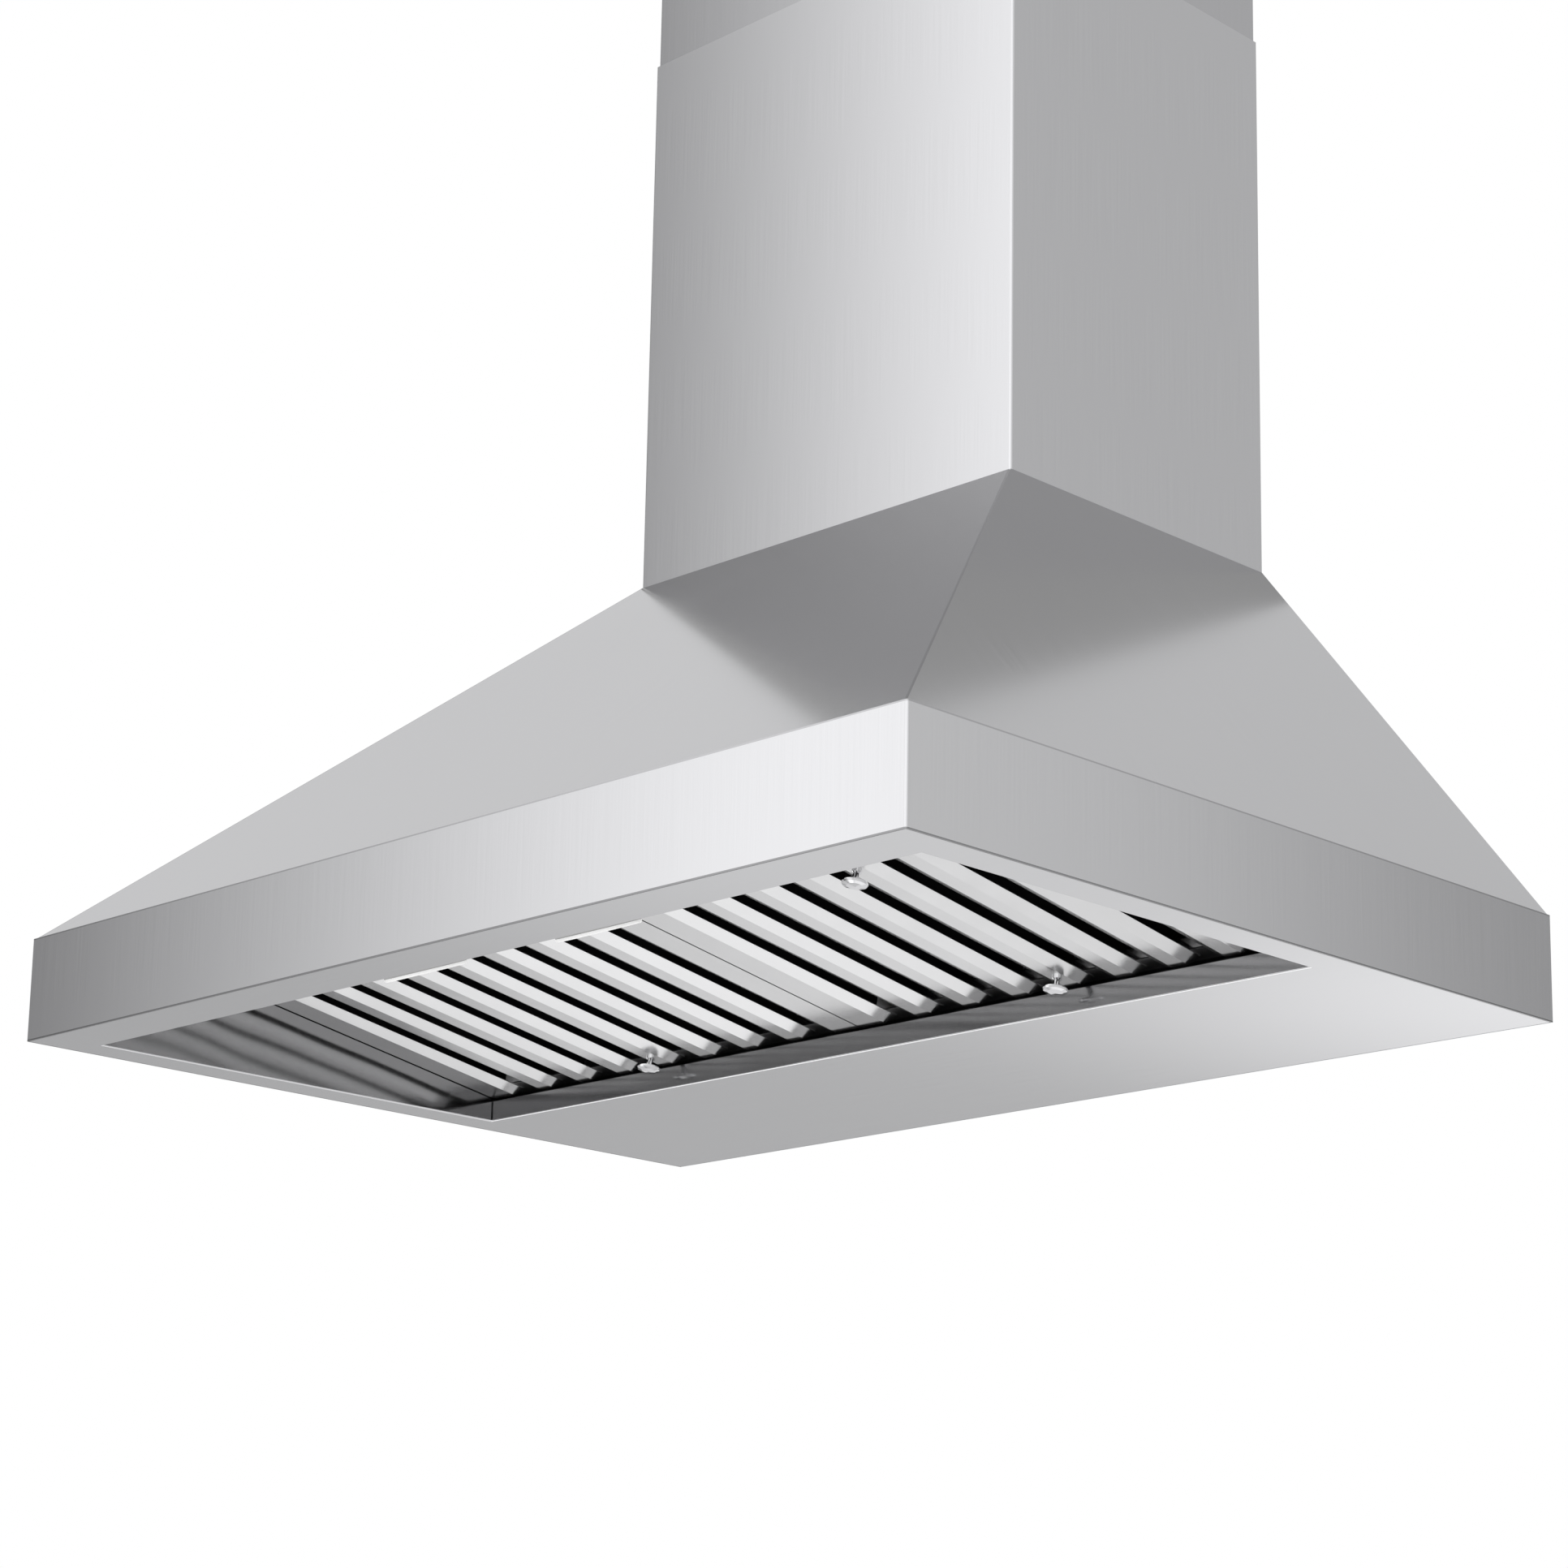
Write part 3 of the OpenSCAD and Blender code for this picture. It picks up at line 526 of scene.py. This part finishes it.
# %% [markdown]
# ### Aluminium, plating and the lamps' rims
#
# Only the lowest edge of each lamp's rim shows past the hood's front border, as
# a bright strip under a dark band of painted shade. The rim is a pale ring that
# the lamp behind it lights from within. A real light in there would cost many
# samples for a strip a few millimetres high, so the rim glows faintly itself,
# which is painted light. The shade lies close under the sloping shelf, so its
# mask measures a point's distance from that slope.

# %% Aluminium, plating and the lamps' rims
shelf_tilt, shelf_shade_height = math.radians(21), 0.0022


def shelf_shade(tree, spot):
    """Painted shade on the upper part of a lamp's rim, close under the sloping shelf."""
    by_y, by_z = math.sin(shelf_tilt), math.cos(shelf_tilt)
    below = math_node(tree, "SUBTRACT", math_node(tree, "MULTIPLY", spot.y, by_y),
                      math_node(tree, "MULTIPLY", spot.z, by_z))
    shelf = well_front * by_y - sheet * by_z
    return less(tree, below, shelf + shelf_shade_height)


mill_aluminium = smooth("mill aluminium", (0.80, 0.81, 0.82), 0.30, 0.04)
plated = smooth("polished plating", (0.88, 0.88, 0.89), 0.07, 0.01)
# The rim's glow is painted light, and its dims paint shade close under the shelf.
lamp_rim = smooth("lamp rim", (0.92, 0.92, 0.91), 0.30, 0.01, metallic=0.0, glow=0.40,
                  dims=[(shelf_shade, 0.40)])
screw_steel = smooth("zinc-plated screw", (0.70, 0.71, 0.72), 0.22, 0.04, 120.0)
print("gasket:", shelf_shade_height * 1000, "mm under a shelf at",
      round(math.degrees(shelf_tilt)), "degrees")

# %% [markdown]
# ### Paint, plastic and glass
#
# The motor is painted black over a casting, so it has a fine orange peel under
# a clear coat. The moulded plastics carry the grain of a spark-eroded mould.
# The lamp glass is frosted on the inside, with a milky body that lets light
# through without showing the module behind it. All of them are one kind of
# finish, a noise of the right grain, with a few inputs of their own.

# %% Paint, plastic and glass
def grained(name, colour, roughness, grain_size, depth, extra=None):
    made, tree, shader = finish_of(name, colour, 0.0, roughness)
    grains = noise_at(tree, object_place(tree), 1 / grain_size)
    feed(tree, shader, {
        "Base Color": tint(tree, spread(tree, grains), colour, 0.06),
        "Roughness": spread(tree, grains, roughness - 0.05, roughness + 0.05),
        "Normal": bump_of(tree, grains, depth, 0.4),
        **(extra or {})})
    return made


motor_paint = grained("black motor enamel", (0.020, 0.021, 0.023), 0.38, 0.0025, 0.00006,
                      {"Coat Weight": 0.3})
black_plastic = grained("black moulded plastic", (0.018, 0.018, 0.019), 0.48, 0.0008, 0.00003)
white_plastic = grained("white moulded plastic", (0.80, 0.79, 0.76), 0.35, 0.0008, 0.00002)
led_ceramic = grained("lamp module", (0.86, 0.83, 0.70), 0.50, 0.0010, 0.00002)
lamp_glass = grained("frosted lamp glass", (0.93, 0.94, 0.93), 0.30, 0.0012, 0.00003,
                     {"Transmission Weight": 0.55, "IOR": 1.5})
moulded = [black_plastic, white_plastic, led_ceramic, lamp_glass]
print("painted:", motor_paint.name, "moulded:", [m.name for m in moulded])

# %% [markdown]
# ### Handing out the finishes
#
# A CAD part keeps its mesh and only gets a better material in its slot. The
# finishes could be given by a word in each part's name, but a table that names
# every part once is easier to check: a part that is forgotten shows up at once.

# %% Which part has which finish
wearing = {
    band_steel: ["canopy_band"],
    pyramid_steel: ["canopy_pyramid"],
    outer_steel: ["chimney_lower"],
    cover_steel: ["chimney_upper"],
    under_steel: ["underside_pan", "light_panel"],
    baffle_steel: ["filter_frame_left", "filter_frame_right", "lower_baffles_left",
                   "lower_baffles_right"],
    shaded_inner_steel: ["upper_baffles_left", "upper_baffles_right", "filter_channel",
                  "grease_gutter"],
    zinc: ["back_panel", "top_plate", "blower_scroll", "inlet_plate_left",
           "inlet_plate_right", "blower_brackets", "motor_bracket", "duct_collar",
           "chimney_bracket", "junction_box", "junction_cover", "blower_wheel"],
    mill_aluminium: ["damper_flap_front", "damper_flap_rear"],
    screw_steel: ["damper_pins", "motor_shaft", "collar_screws", "cover_screws",
                  "capacitor_clamp"],
    lamp_rim: ["lamp_left", "lamp_right"],
    plated: ["knobs_left", "knobs_right", "control_plate",
             "button_off", "button_low", "button_medium", "button_high", "button_light"],
    lamp_glass: ["lens_left", "lens_right"],
    led_ceramic: ["led_left", "led_right"],
    motor_paint: ["motor"],
    black_plastic: ["control_box", "cable_gland"],
    white_plastic: ["capacitor", "terminal_block"],
}
for material, names in wearing.items():
    for name in names:
        mesh = parts[name].data
        mesh.materials.clear()
        mesh.materials.append(material)
dressed = sorted(n for names in wearing.values() for n in names)
print("dressed:", len(dressed), "left over:", sorted(set(parts) - set(dressed)))

# %% [markdown]
# ## The folded edge of the well
#
# The border round the well is folded, so its edge is a small round bend that
# catches the light, and not a sharp line. A Bevel on the pan would change a
# CAD part, so the bend is a piece of its own, lying against the wall just above
# the border's lower face. A point spun a quarter turn makes the bend's section,
# and an extrude carries it along one side of the well.

# %% One bead
bead_r, bead_lift = 0.0012, 0.00001


def quarter_bead(start, end, inward):
    """A quarter-round bar from start to end, standing inward from the wall above."""
    start, end, inward = Vector(start), Vector(end), Vector(inward)
    centre = start + Vector((0, 0, bead_r + bead_lift))
    shape = bmesh.new()
    first = shape.verts.new(centre + inward * bead_r)
    bmesh.ops.spin(shape, geom=[first], cent=centre, axis=inward.cross(Vector((0, 0, -1))),
                   dvec=(0, 0, 0), angle=math.radians(90), steps=6)
    shape.verts.new(centre)
    section = bmesh.ops.contextual_create(shape, geom=shape.verts[:])["faces"]
    grown = bmesh.ops.extrude_face_region(shape, geom=section, use_keep_orig=True)
    moved = [g for g in grown["geom"] if isinstance(g, bmesh.types.BMVert)]
    bmesh.ops.translate(shape, verts=moved, vec=end - start)
    bmesh.ops.recalc_face_normals(shape, faces=shape.faces[:])
    return shape


print("bead:", bead_r * 1000, "mm across")

# %% [markdown]
# ### Four beads
#
# The four sides of the well get one bead each. They belong to the hood's body,
# so they ride on it, and they are of its brushed steel, only rubbed smoother.
# A bmesh is only a shape: it becomes a mesh, and the mesh gets an object, which
# stays at the origin with its place in the mesh, as the CAD parts do.

# %% Four beads round the well
def placed(name, data):
    """A new object in the scene."""
    made = bpy.data.objects.new(name, data)
    bpy.context.scene.collection.objects.link(made)
    return made


def object_of(name, shape):
    """An object with the mesh of a bmesh."""
    mesh = bpy.data.meshes.new(name)
    shape.to_mesh(mesh)
    shape.free()
    return placed(name, mesh)


lip_steel = smooth("polished edge", (0.93, 0.93, 0.94), 0.12, 0.01)
sides = {
    "bead_rear": ((-well_x, well_rear, 0), (well_x, well_rear, 0), (0, -1, 0)),
    "bead_front": ((-well_x, well_front, 0), (well_x, well_front, 0), (0, 1, 0)),
    "bead_left": ((-well_x, well_front, 0), (-well_x, well_rear, 0), (1, 0, 0)),
    "bead_right": ((well_x, well_front, 0), (well_x, well_rear, 0), (-1, 0, 0)),
}
beads = [object_of(name, quarter_bead(*run)) for name, run in sides.items()]
for bead in beads:
    bead.data.materials.append(lip_steel)
    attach(bead, "hood")
print("beads:", [(b.name, len(b.data.polygons)) for b in beads])

# %% [markdown]
# ## The studio
#
# Polished and brushed metal has hardly any colour of its own: what it shows is
# the room. So the studio is built the way metal is lit for a catalogue, pale
# grey all round and with a broad card in front. The room could be a ring of
# large planes, but the world does the same and costs nothing. Its grey depends
# on the bearing: 0 and 1 are to the left of the hood, 0.25 is in front of it,
# 0.5 to the right and 0.75 behind. High up it runs into one even grey. The ramp
# is a B-spline, because a kink in it would show in the steel as a line.

# %% Grey by bearing
trace_of_blue = 1.01


def ramp_of(tree, value, stops):
    """Greys that run smoothly through stops of (place, level), in order from 0 to 1."""
    made = node(tree, "ShaderNodeValToRGB", {0: value})
    made.color_ramp.interpolation = "B_SPLINE"
    points = made.color_ramp.elements
    for place, _ in stops[1:-1]:
        points.new(place)
    for point, (place, level) in zip(points, stops):
        point.position = place
        point.color = (level, level, level * trace_of_blue, 1)
    return made.outputs[0]


world = bpy.data.worlds.new("studio")
bpy.context.scene.world = world
world.use_nodes = True
room = world.node_tree
room.nodes.clear()
direction = node(room, "ShaderNodeTexCoord").outputs["Generated"]
x, y, z = node(room, "ShaderNodeSeparateXYZ", {0: direction}).outputs
bearing = math_node(room, "MULTIPLY_ADD", math_node(room, "ARCTAN2", y, x), 0.5 / math.pi, 0.5)
walls = ramp_of(room, bearing, [
    (0.0, 0.55), (0.05, 0.325), (0.09, 0.325), (0.15, 0.325), (0.25, 0.62), (0.50, 0.55),
    (0.66, 0.52), (0.69, 0.31), (0.735, 0.31), (0.76, 0.565), (0.80, 0.565), (0.86, 0.65),
    (0.95, 0.65), (1.0, 0.55)])
ceiling_from, ceiling_to = 0.75, 0.95
ceiling = mapped(room, z, ceiling_from, ceiling_to)
greys = mixed(room, ceiling, walls, (0.66, 0.66, 0.67, 1))
print("world:", world.name, "with its ceiling from", round(math.degrees(math.asin(ceiling_from))),
      "degrees up")

# %% [markdown]
# ### White for the camera
#
# Behind the hood the background is white, but a white room would bleach the
# steel. A white wall could stand behind the hood, but it would show in the
# reflections too. The light path tells the two apart: a ray that comes straight
# from the camera sees white, and every other ray sees the greys.

# %% White for the camera
lit = node(room, "ShaderNodeBackground", {0: greys})
seen = node(room, "ShaderNodeBackground", {0: (1, 1, 1, 1)})
camera_ray = node(room, "ShaderNodeLightPath").outputs["Is Camera Ray"]
choice = node(room, "ShaderNodeMixShader", {0: camera_ray, 1: lit.outputs[0], 2: seen.outputs[0]})
node(room, "ShaderNodeOutputWorld", {0: choice.outputs[0]})
print("world nodes:", len(room.nodes))

# %% [markdown]
# ### Floor
#
# The floor is one wide sheet, well below the hood, which hangs on a wall at
# about this height. A plane from the menu would do, but its corners are as
# easily given here, and the cards below are made in the same way. Floor and
# cards are stage: they are no part of the hood.

# %% Floor
floor_drop, floor_half = 1.65, 14


def flat_sheet(name, corners):
    """One four-cornered face of the stage."""
    shape = bmesh.new()
    points = [shape.verts.new(c) for c in corners]
    bmesh.ops.contextual_create(shape, geom=points)
    made = object_of(name, shape)
    return made


def lying(x0, y0, x1, y1, z):
    """The corners of a level sheet."""
    return [(x0, y0, z), (x1, y0, z), (x1, y1, z), (x0, y1, z)]


def standing(x0, y0, x1, y1, z0, z1):
    """The corners of an upright sheet."""
    return [(x0, y0, z0), (x1, y1, z0), (x1, y1, z1), (x0, y0, z1)]


floor = flat_sheet("floor", lying(-floor_half, -floor_half, floor_half, floor_half, -floor_drop))
floor.data.materials.append(finish_of("floor paint", (0.86, 0.86, 0.86), 0.0, 0.8)[0])
print("floor:", floor.dimensions[:2], "m, lying at", -floor_drop)

# %% [markdown]
# ### A reflector card
#
# A card is a glowing sheet whose brightness runs from stop to stop, as on a
# studio card that is lit from one side. It could be a white sheet with a lamp
# aimed at it, but the lamp would have to be aimed anew for every change along
# the card. A ramp holds nothing above one, so its levels are shares of the
# brightest, and the emission multiplies them back.

# %% The glow of a card
def glow_of(tree, stops, across, fade):
    """An emission through stops along the vector across; a fade gives those at the top."""
    place = object_place(tree)
    along = node(tree, "ShaderNodeVectorMath", {0: place, 1: across}, operation="DOT_PRODUCT")
    first, last = stops[0][0], stops[-1][0]
    brightest = max(level for _, level in stops + (fade[2] if fade else []))
    run = mapped(tree, along.outputs["Value"], first, last)

    def shades(levels):
        return ramp_of(tree, run, [((at - first) / (last - first), level / brightest)
                                   for at, level in levels])

    colour = shades(stops)
    if fade:
        low, high, upper = fade
        height = node(tree, "ShaderNodeSeparateXYZ", {0: place}).outputs[2]
        colour = mixed(tree, mapped(tree, height, low, high), colour, shades(upper))
    return node(tree, "ShaderNodeEmission", {0: colour, 1: brightest}).outputs[0]


def even(level):
    """Stops for a card of one brightness."""
    return [(-1.0, level), (1.0, level)]


print("stops of an even card:", even(1.0))

# %% [markdown]
# ### What sees a card
#
# Only reflections see a card: it throws no light on the floor and no shadow,
# and the camera looks through it. A card that stands close to the hood would
# also be seen from behind, where it isn't wanted, so it can be made clear on
# that side. The operator that makes a face picks which side is its front, so
# the face's normal is compared with the way in which the card should look.

# %% A card
unseen_by = ("camera", "diffuse", "shadow", "transmission")


def one_sided(tree, glow, normal, faces):
    """The glow on the side to which the vector faces points, and clear on the other."""
    clear = node(tree, "ShaderNodeBsdfTransparent").outputs[0]
    front, back = (glow, clear) if normal.dot(Vector(faces)) >= 0 else (clear, glow)
    behind = node(tree, "ShaderNodeNewGeometry").outputs["Backfacing"]
    return node(tree, "ShaderNodeMixShader", {0: behind, 1: front, 2: back}).outputs[0]


def card(name, corners, stops, across=(1, 0, 0), fade=None, faces=None):
    """A card that only reflections see, from both sides or from where faces points."""
    made = flat_sheet(name, corners)
    paint = bpy.data.materials.new(name)
    paint.use_nodes = True
    tree = paint.node_tree
    tree.nodes.clear()
    glow = glow_of(tree, stops, across, fade)
    if faces:
        glow = one_sided(tree, glow, made.data.polygons[0].normal, faces)
    node(tree, "ShaderNodeOutputMaterial", {0: glow})
    made.data.materials.append(paint)
    for kind in unseen_by:
        setattr(made, f"visible_{kind}", False)
    return made


print("a card isn't seen by:", unseen_by)

# %% [markdown]
# ### Cards for the fronts
#
# The fronts of the band and the chimney run from dark grey at the left to
# nearly white. One wide card in front does that, and the rough sheet blurs its
# stops into one soft gradient. The chimney sees the card's upper half, whose
# stops lie a little further to the left. A second card goes on below it, for
# what is seen from higher up or by way of two mirrors, and a third stands to
# the right, for the sides.

# %% Cards for the fronts
front_x, front_y, front_foot = 3.6, -1.5, 0.02
right_x, right_near, right_far = 2.0, 1.0, 3.4
fronts = [
    card("front card", standing(-front_x, front_y, front_x, front_y, front_foot, 2.5),
         [(-front_x, 0.18), (-2.3, 0.20), (-2.03, 0.35), (-1.52, 0.64), (-1.09, 0.97),
          (-0.85, 1.09), (-0.55, 1.10), (-0.1, 0.92), (front_x, 0.80)],
         fade=(0.7, 1.2, [(-front_x, 0.15), (-2.2, 0.20), (-1.84, 0.41), (-1.54, 0.67),
                          (-1.23, 1.00), (-1.0, 1.16), (-0.7, 1.16), (-0.2, 0.90),
                          (front_x, 0.78)])),
    card("low card", standing(-front_x, front_y, front_x, front_y, -1.0, front_foot),
         [(-front_x, 0.14), (-1.1, 0.16), (-0.2, 1.0), (front_x, 1.1)]),
    card("right card", standing(right_x, right_near, right_x, right_far, 0.2, 1.15),
         [(right_near, 0.60), (1.55, 0.60), (2.0, 0.52), (2.75, 0.30), (right_far, 0.30)],
         (0, 1, 0)),
]
print("cards for the fronts:", [c.name for c in fronts])

# %% [markdown]
# ### Cards for the underside
#
# Seen from below, the underside mirrors what lies behind the hood: the border
# round the well mirrors a card behind it, the flat faces of the baffles the
# foot of that card, and their bevels the floor beside it. The rear ends of the
# baffles mirror the well's rear wall, which in turn mirrors the floor in front,
# and the bead round the well mirrors the floor to the left. So each gets its
# own card, a centimetre above the floor or upright behind the hood.

# %% Cards for the underside
card_foot = -floor_drop + 0.01
back_y, strip_y = 2.0, 1.98
foot_left, foot_right = -4.6, -0.6
foot_shades = [(foot_left, 0.12), (-3.55, 0.14), (-3.35, 0.30), (-3.15, 0.52), (-2.95, 0.60),
               (-2.5, 0.67), (-2.1, 0.73), (foot_right, 0.76)]
unders = [
    card("back card", standing(-5.5, back_y, 1.0, back_y, card_foot, -0.1),
         [(-6.0, 0.43), (-0.2, 0.44), (0.3, 0.60), (0.7, 0.70), (5.0, 0.70)], (1, 0, -3.05),
         fade=(-0.68, -0.52, [(-6.0, 0.43), (0.0, 0.44), (0.35, 0.70), (0.75, 1.02),
                              (5.0, 1.02)])),
    card("foot card", standing(foot_left, strip_y, foot_right, strip_y, card_foot, -1.2),
         foot_shades),
    card("foot strip", lying(foot_left, 1.6, foot_right, strip_y, card_foot), foot_shades),
    card("floor card", lying(-1.6, 0.4, 0.6, 1.5, card_foot),
         [(-1.6, 0.30), (-1.08, 0.68), (-0.85, 0.88), (-0.5, 0.97), (-0.3, 0.88),
          (-0.15, 0.72), (0.6, 0.65)]),
    card("wall card", lying(-3.6, -2.8, -1.2, -1.52, card_foot), even(1.1)),
    card("lip card", lying(-2.6, -0.9, -0.3, 0.38, card_foot), even(1.3)),
]
print("cards for the underside:", [c.name for c in unders])

# %% [markdown]
# ### Flags beside the chimney
#
# The canopy's slopes mirror the chimney as a darker patch below it. The patch
# is wider than the chimney alone would make it, as where a wall stands close
# behind. A dark card, which a studio calls a flag, widens it: one stands behind
# the chimney's right edge and one beside its left edge. Each is clear from the
# other side, so that it doesn't darken the chimney itself.

# %% Flags beside the chimney
flag_level = 0.30
side_x, side_y = chimney_high.x - 0.0005, chimney_high.y + 0.0002
side_foot, side_top, foot_y, top_y = 0.40, 1.90, 0.412, 1.236
side_flag = card("side flag", [(side_x, side_y, side_foot), (side_x, foot_y, side_foot),
                               (side_x, top_y, side_top), (side_x, side_y, side_top)],
                 even(flag_level), faces=(1, 0, 0))
edge_x, edge_y, edge_foot = chimney_low.x, chimney_low.y + 0.0005, chimney_low.z
edge_top, foot_width, top_width = 0.73, 0.0025, 0.063
front_flag = card("front flag", [(edge_x, edge_y, edge_foot), (edge_x, edge_y, edge_top),
                                 (edge_x - top_width, edge_y, edge_top),
                                 (edge_x - foot_width, edge_y, edge_foot)],
                  even(flag_level), faces=(0, -1, 0))
print("flags:", side_flag.name, front_flag.name)

# %% [markdown]
# ## Lights
#
# Two soft lamps, a stronger one from the upper left and a weaker one from the
# right, light the plastics and the floor. They are kept low, since the steel
# takes its brightness from the room, and reflections don't show them: a square
# lamp in a polished baffle would look like a window.

# %% Lights
lamp_size = 2.0
middle = (cad_low + cad_high) / 2


def soft_light(name, place, power):
    """A square lamp that looks at the middle of the hood."""
    data = bpy.data.lights.new(name, "AREA")
    data.shape = "SQUARE"
    data.size = lamp_size
    data.energy = power
    made = placed(name, data)
    made.location = place
    made.rotation_euler = (middle - Vector(place)).to_track_quat("-Z", "Y").to_euler()
    made.visible_glossy = False
    return made


lights = [soft_light("key", (-1.8, -2.6, 2.6), 40), soft_light("fill", (2.6, -2.0, 1.2), 20)]
print("lights:", [(lamp.name, lamp.data.energy) for lamp in lights])

# %% [markdown]
# ## Camera
#
# The hood is seen from below and from its right front corner, as a person at
# the stove sees it, only from further away. A long lens keeps the far corner
# from shrinking. The camera tilts up and is shifted a little, which keeps the
# upright edges nearly parallel; shifting alone would make them quite parallel,
# but would leave the hood outside the frame in other views.

# %% Camera
turn, tilt, roll = 0.7669, 0.2212, 0.0143
camera_data = bpy.data.cameras.new("camera")
camera_data.sensor_width = 36
camera_data.lens = 83.26
camera_data.shift_x = -0.0444
camera_data.shift_y = 0.15
camera = placed("camera", camera_data)
camera.location = (1.8665, -1.8478, -0.5797)
aim = Euler((math.pi / 2 + tilt, 0, turn)).to_matrix() @ Matrix.Rotation(roll, 3, "Z")
camera.rotation_euler = aim.to_euler()
bpy.context.scene.camera = camera
bpy.context.scene.view_settings.view_transform = "Standard"
print("camera:", round(camera_data.lens, 2), "mm, tilted up by",
      round(math.degrees(tilt), 1), "degrees")
